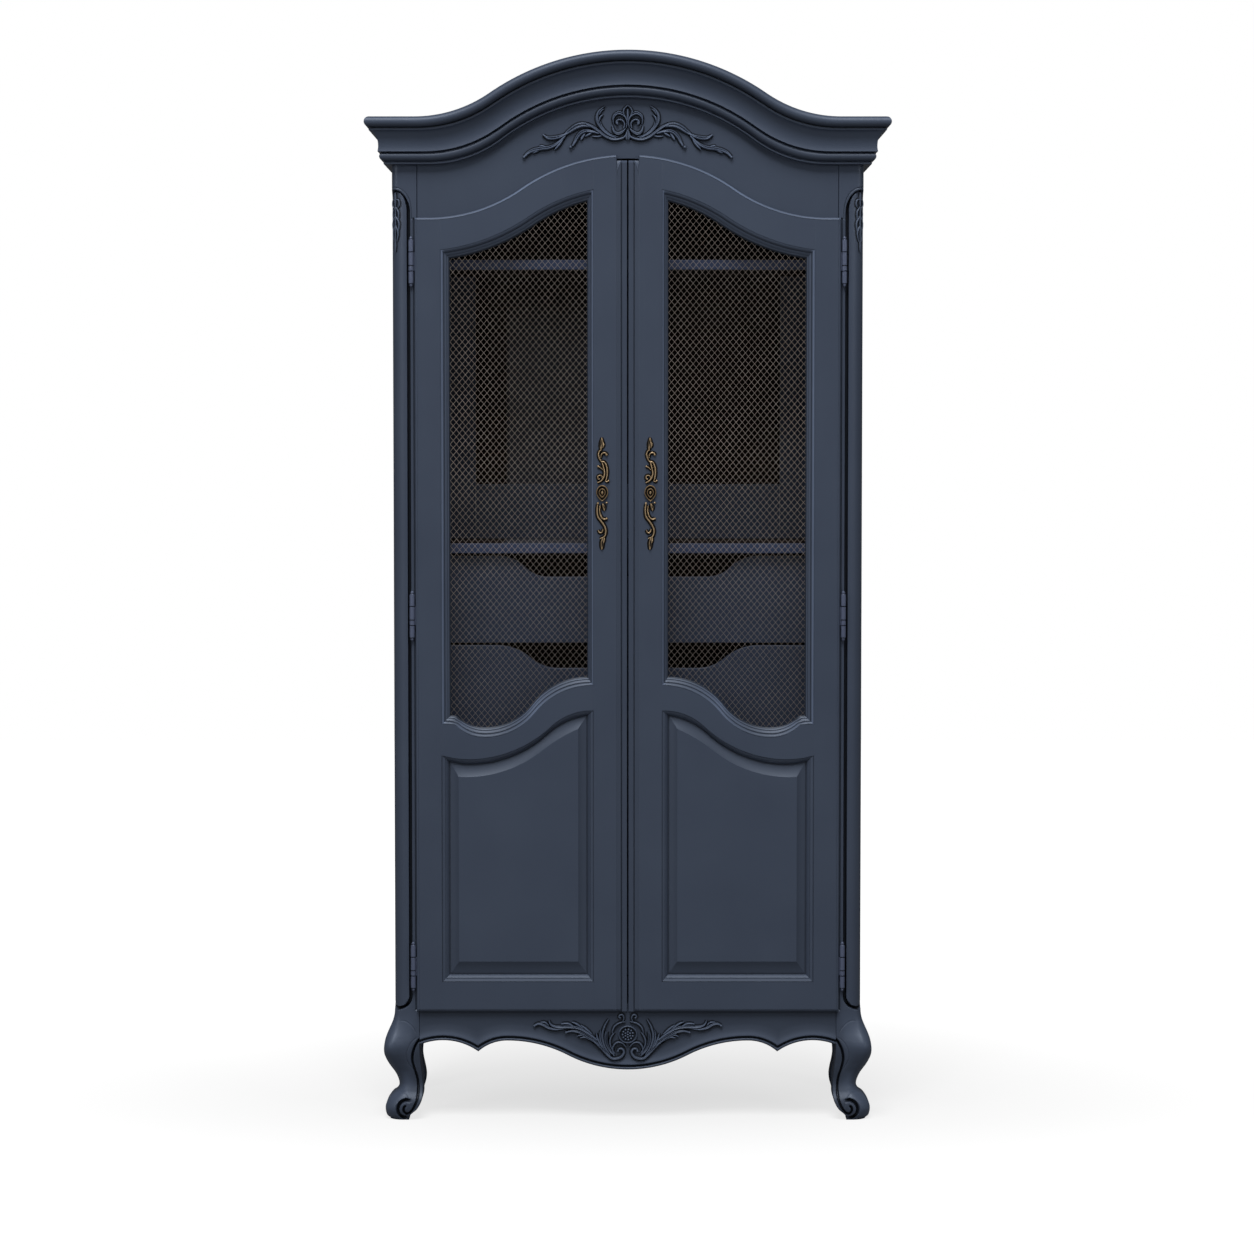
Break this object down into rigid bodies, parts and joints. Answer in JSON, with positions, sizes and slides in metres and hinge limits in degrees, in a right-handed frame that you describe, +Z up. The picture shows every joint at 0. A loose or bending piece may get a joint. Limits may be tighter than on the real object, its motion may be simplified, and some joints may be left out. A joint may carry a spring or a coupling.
{
  "type": "hutch",
  "caption": "Tall painted armoire hutch with an arched cornice, wire mesh doors over raised panels, carved trim and cabriole feet, with shelves and scooped pull-out trays inside.",
  "frame": {"origin": "middle of the cabinet's outer box, on the floor between the feet", "axes": "+X to the right as seen from the front, +Y from the front to the back, +Z up"},
  "size_m": [1.096, 0.454, 2.248],
  "materials": {
    "slate_blue_paint": "satin slate blue paint on wood",
    "dark_stained_board": "dark brown stain on thin board",
    "painted_iron": "hinges painted with the case",
    "aged_brass": "dark aged brass",
    "bronze_wire": "bronzed woven wire"
  },
  "bodies": {
    "case": {"apron": "slate_blue_paint", "apron_carving": "slate_blue_paint", "back_panel": "dark_stained_board", "cornice_front": "slate_blue_paint", "cornice_left": "slate_blue_paint", "cornice_right": "slate_blue_paint", "drawer_guide_left": "slate_blue_paint", "drawer_guide_right": "slate_blue_paint", "floor_board": "slate_blue_paint", "frieze": "slate_blue_paint", "frieze_carving": "slate_blue_paint", "front_post_left": "slate_blue_paint", "front_post_right": "slate_blue_paint", "left_bottom_hinge_post_half": "painted_iron", "left_middle_hinge_post_half": "painted_iron", "left_top_hinge_post_half": "painted_iron", "lower_shelf": "slate_blue_paint", "rear_post_left": "slate_blue_paint", "rear_post_right": "slate_blue_paint", "right_bottom_hinge_post_half": "painted_iron", "right_middle_hinge_post_half": "painted_iron", "right_top_hinge_post_half": "painted_iron", "side_apron_left": "slate_blue_paint", "side_apron_right": "slate_blue_paint", "side_panel_left": "slate_blue_paint", "side_panel_right": "slate_blue_paint", "top_board": "slate_blue_paint", "upper_shelf": "slate_blue_paint"},
    "left_door": {"left_bottom_hinge_door_half": "painted_iron", "left_door_bottom_rail": "slate_blue_paint", "left_door_handle": "aged_brass", "left_door_hinge_stile": "slate_blue_paint", "left_door_meeting_stile": "slate_blue_paint", "left_door_mesh": "bronze_wire", "left_door_mid_rail": "slate_blue_paint", "left_door_panel": "slate_blue_paint", "left_door_top_rail": "slate_blue_paint", "left_middle_hinge_door_half": "painted_iron", "left_top_hinge_door_half": "painted_iron"},
    "right_door": {"right_bottom_hinge_door_half": "painted_iron", "right_door_bottom_rail": "slate_blue_paint", "right_door_handle": "aged_brass", "right_door_hinge_stile": "slate_blue_paint", "right_door_meeting_stile": "slate_blue_paint", "right_door_mesh": "bronze_wire", "right_door_mid_rail": "slate_blue_paint", "right_door_panel": "slate_blue_paint", "right_door_top_rail": "slate_blue_paint", "right_middle_hinge_door_half": "painted_iron", "right_top_hinge_door_half": "painted_iron"},
    "upper_drawer": {"upper_drawer_back": "dark_stained_board", "upper_drawer_bottom": "dark_stained_board", "upper_drawer_front": "slate_blue_paint", "upper_drawer_side_left": "dark_stained_board", "upper_drawer_side_right": "dark_stained_board"},
    "lower_drawer": {"lower_drawer_back": "dark_stained_board", "lower_drawer_bottom": "dark_stained_board", "lower_drawer_front": "slate_blue_paint", "lower_drawer_side_left": "dark_stained_board", "lower_drawer_side_right": "dark_stained_board"}
  },
  "joints": [
    {"name": "left_door_hinge", "type": "hinge", "parent": "case", "child": "left_door", "pos_m": [-0.4535, -0.1792, 0.2354], "axis": [0, 0, -1], "range_deg": [0, 165]},
    {"name": "right_door_hinge", "type": "hinge", "parent": "case", "child": "right_door", "pos_m": [0.4535, -0.1792, 0.2354], "axis": [0, 0, 1], "range_deg": [0, 165]},
    {"name": "upper_drawer_slide", "type": "slide", "parent": "case", "child": "upper_drawer", "axis": [0, -1, 0], "range_m": [0, 0.06]},
    {"name": "lower_drawer_slide", "type": "slide", "parent": "case", "child": "lower_drawer", "axis": [0, -1, 0], "range_m": [0, 0.06]}
  ]
}
